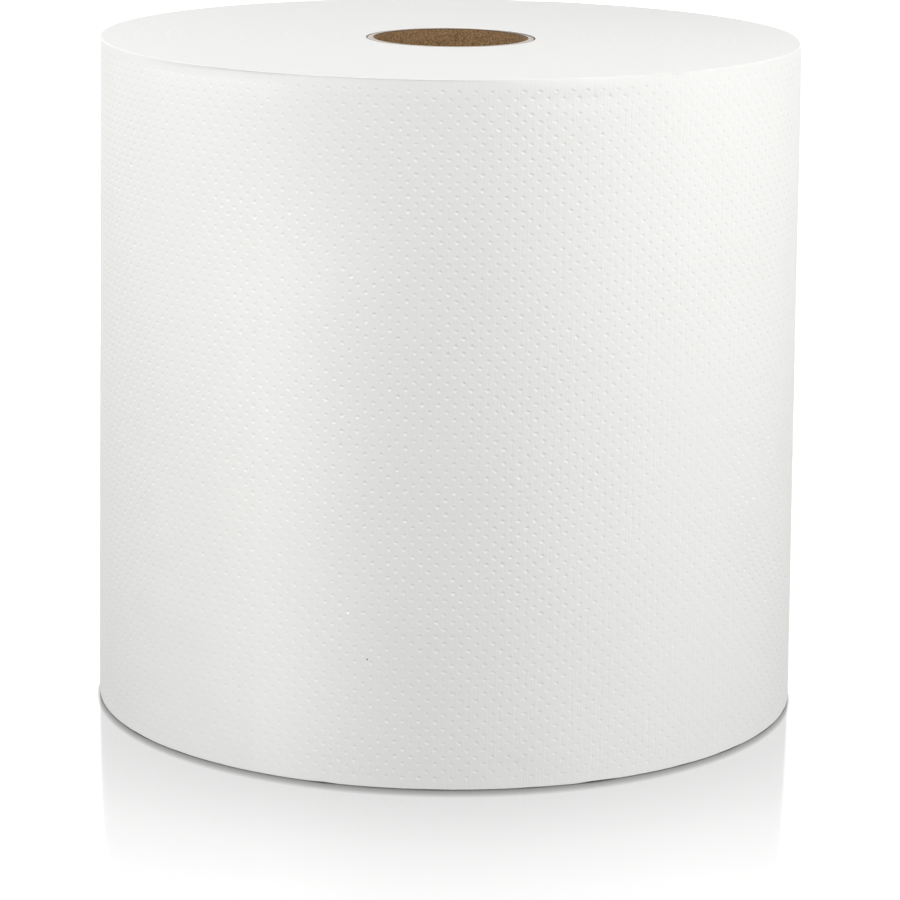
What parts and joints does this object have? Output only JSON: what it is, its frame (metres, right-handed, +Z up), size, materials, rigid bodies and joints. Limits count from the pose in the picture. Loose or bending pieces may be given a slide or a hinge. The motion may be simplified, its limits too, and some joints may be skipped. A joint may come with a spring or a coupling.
{
  "type": "paper towel roll",
  "caption": "Wide paper towel roll stood on its end: an embossed web wound tight on a cardboard core, its free end a loose tab at the back. A dispenser's spindle enters the core.",
  "frame": {"origin": "centre of the end face the roll stands on", "axes": "+Z up along the core; the loose tab of the web leaves the back, which faces +Y"},
  "size_m": [0.1996, 0.1998, 0.1905],
  "materials": {
    "towel": "matt embossed tissue",
    "core": "matt kraft board"
  },
  "bodies": {
    "root": {"core": "core", "towel": "towel"}
  },
  "joints": []
}
